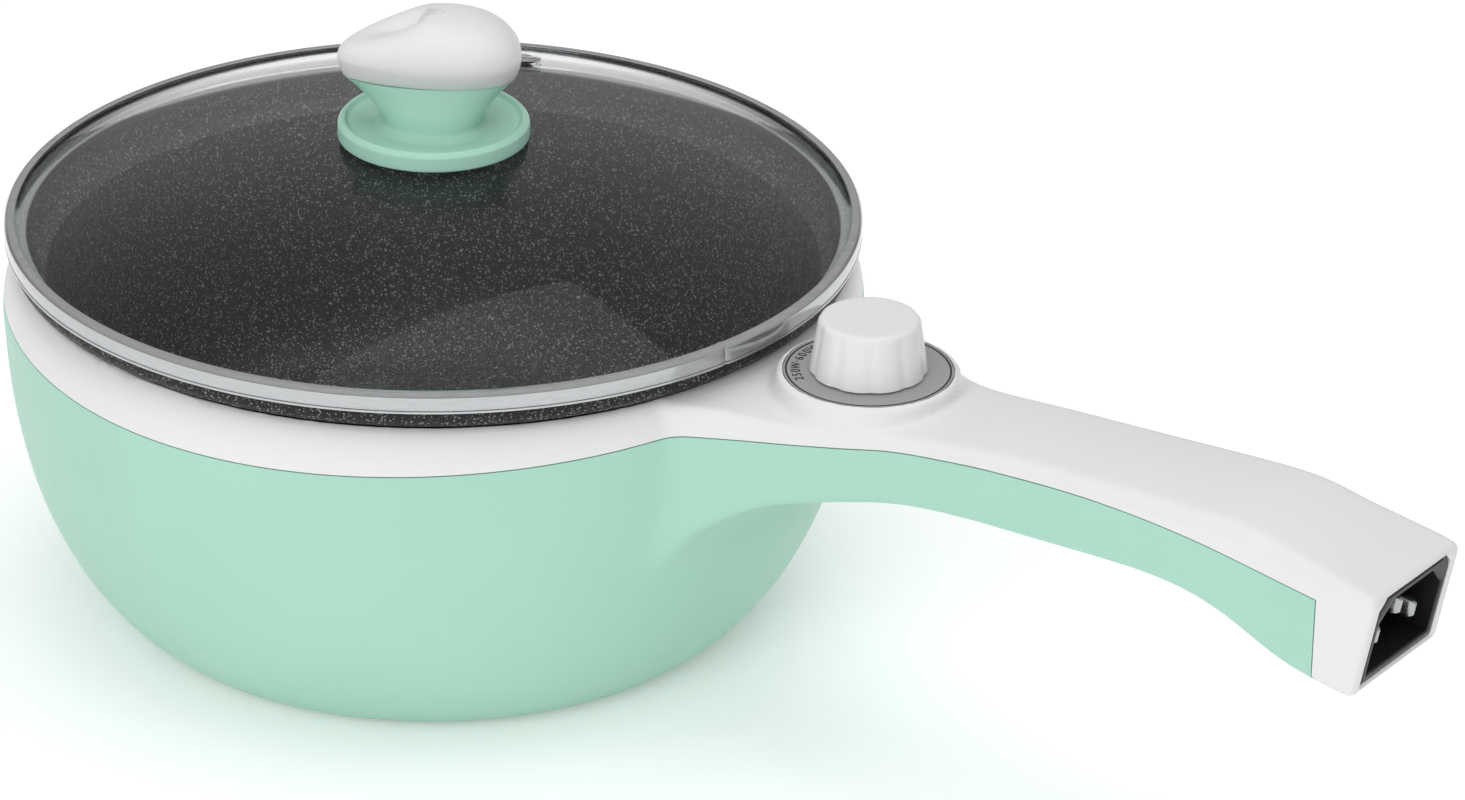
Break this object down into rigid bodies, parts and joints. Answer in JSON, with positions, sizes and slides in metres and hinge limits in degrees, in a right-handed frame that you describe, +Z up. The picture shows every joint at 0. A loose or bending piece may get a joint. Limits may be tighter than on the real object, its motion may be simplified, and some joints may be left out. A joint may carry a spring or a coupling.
{
  "type": "electric hot pot",
  "caption": "Saucepan-shaped electric hot pot: two-colour plastic body, coated inner pot, domed glass lid with a knob, hollow handle with a rotary switch and a mains inlet in its end.",
  "frame": {"origin": "on the pot's axis, at the base cover's flat pad, within 1 mm of the surface that the feet stand on", "axes": "+Z up along the pot's axis, +X from the pot along the handle towards the mains inlet, +Y to the left of the handle"},
  "size_m": [0.3368, 0.1846, 0.135],
  "materials": {
    "white_plastic": "satin moulded, faint moulding texture",
    "mint_plastic": "satin moulded, pale mint green",
    "pot_coating": "dark grey non-stick coating with fine pale speckle",
    "lid_steel": "bright rolled stainless steel",
    "lid_glass": "clear tempered glass",
    "silicone": "translucent silicone",
    "dial_grey": "satin silver grey",
    "black_plastic": "fine-grained black",
    "plain_steel": "plated",
    "aluminium": "plain",
    "foot_rubber": "matt",
    "brass": "plain",
    "wire_brown": "insulated wire",
    "wire_blue": "insulated wire",
    "wire_green": "insulated wire, earth"
  },
  "bodies": {
    "pot_body": {"upper_housing": "white_plastic", "base_cover": "white_plastic", "outer_shell": "mint_plastic", "inner_pot": "pot_coating", "pot_seal": "silicone", "thermal_fuse": "silicone", "dial_plate": "dial_grey", "inlet_housing": "black_plastic", "switch_body": "black_plastic", "thermostat": "black_plastic", "wire_clamp": "black_plastic", "mounting_ring": "plain_steel", "thermostat_clip": "plain_steel", "switch_nut": "plain_steel", "heating_element": "plain_steel", "inlet_pin_line": "plain_steel", "inlet_pin_neutral": "plain_steel", "inlet_pin_earth": "plain_steel", "pot_stud_1": "plain_steel", "pot_stud_2": "plain_steel", "pot_stud_3": "plain_steel", "pot_nut_1": "plain_steel", "pot_nut_2": "plain_steel", "pot_nut_3": "plain_steel", "base_screw_1": "plain_steel", "base_screw_2": "plain_steel", "base_screw_3": "plain_steel", "base_screw_4": "plain_steel", "handle_screw_1": "plain_steel", "handle_screw_2": "plain_steel", "heater_plate": "aluminium", "heat_shield": "aluminium", "foot_1": "foot_rubber", "foot_2": "foot_rubber", "foot_3": "foot_rubber", "foot_4": "foot_rubber", "heater_terminal_1": "brass", "heater_terminal_2": "brass", "wire_line": "wire_brown", "wire_low": "wire_brown", "wire_high": "wire_brown", "wire_neutral": "wire_blue", "wire_earth": "wire_green"},
    "lid": {"lid_glass": "lid_glass", "lid_band": "lid_steel", "lid_knob_base": "mint_plastic", "lid_knob_cap": "white_plastic", "lid_knob_gasket": "silicone", "lid_knob_washer": "plain_steel", "lid_knob_screw": "plain_steel", "steam_vent_eyelet": "lid_steel"},
    "power_knob": {"control_knob": "white_plastic", "switch_shaft": "aluminium"}
  },
  "joints": [
    {"name": "lid_lift", "type": "slide", "parent": "pot_body", "child": "lid", "axis": [0, 0, 1], "range_m": [0, 0.12]},
    {"name": "power_knob_turn", "type": "hinge", "parent": "pot_body", "child": "power_knob", "pos_m": [0.1132, 0, 0.09], "axis": [0, 0, 1], "range_deg": [0, 120]}
  ]
}
